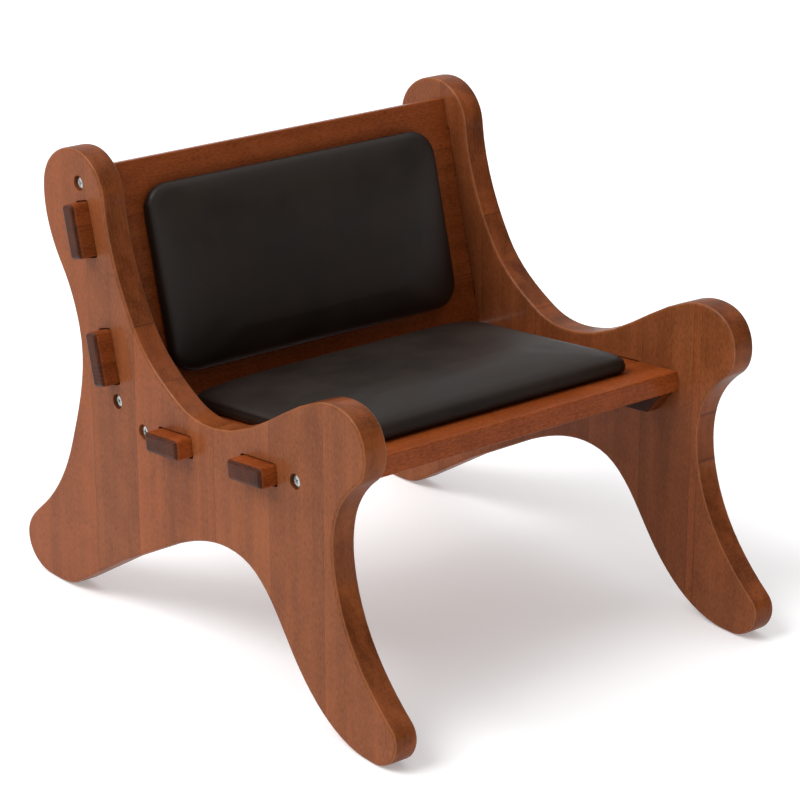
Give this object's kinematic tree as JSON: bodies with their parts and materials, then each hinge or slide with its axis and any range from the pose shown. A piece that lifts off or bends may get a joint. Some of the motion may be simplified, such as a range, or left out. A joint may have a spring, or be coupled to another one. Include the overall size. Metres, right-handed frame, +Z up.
{
  "type": "low padded bench seat",
  "caption": "Low bench seat with a reclined back: shaped wooden side panels, through-tenoned boards and padded seat and back.",
  "frame": {"origin": "on the floor under the middle of the bench's bounding box", "axes": "+X to the sitter's left hand as seen from the front (right in a front view), +Y to the rear, +Z up"},
  "size_m": [0.484, 0.5843, 0.447],
  "materials": {
    "panel_wood": "satin lacquer, reddish brown stain, vertical staves",
    "board_wood": "satin lacquer, reddish brown stain, staves across the bench",
    "cleat_wood": "dark stain, satin",
    "pad_cover": "smooth satin black-brown leatherette",
    "pad_plywood": "raw",
    "pad_foam": "matte upholstery foam",
    "fastener": "bright zinc plate"
  },
  "bodies": {
    "root": {"back_barrel_nut_lower_left": "fastener", "back_barrel_nut_lower_right": "fastener", "back_barrel_nut_upper_left": "fastener", "back_barrel_nut_upper_right": "fastener", "back_board": "board_wood", "back_bolt_lower_left": "fastener", "back_bolt_lower_right": "fastener", "back_bolt_upper_left": "fastener", "back_bolt_upper_right": "fastener", "back_pad_base": "pad_plywood", "back_pad_cover": "pad_cover", "back_pad_foam": "pad_foam", "back_pad_screw_1": "fastener", "back_pad_screw_2": "fastener", "back_pad_screw_3": "fastener", "back_pad_screw_4": "fastener", "cleat_screw_front_left": "fastener", "cleat_screw_front_right": "fastener", "cleat_screw_rear_left": "fastener", "cleat_screw_rear_right": "fastener", "seat_barrel_nut_front_left": "fastener", "seat_barrel_nut_front_right": "fastener", "seat_barrel_nut_rear_left": "fastener", "seat_barrel_nut_rear_right": "fastener", "seat_board": "board_wood", "seat_bolt_front_left": "fastener", "seat_bolt_front_right": "fastener", "seat_bolt_rear_left": "fastener", "seat_bolt_rear_right": "fastener", "seat_cleat_left": "cleat_wood", "seat_cleat_right": "cleat_wood", "seat_pad_base": "pad_plywood", "seat_pad_cover": "pad_cover", "seat_pad_foam": "pad_foam", "seat_pad_screw_1": "fastener", "seat_pad_screw_2": "fastener", "seat_pad_screw_3": "fastener", "seat_pad_screw_4": "fastener", "side_panel_left": "panel_wood", "side_panel_right": "panel_wood"}
  },
  "joints": []
}
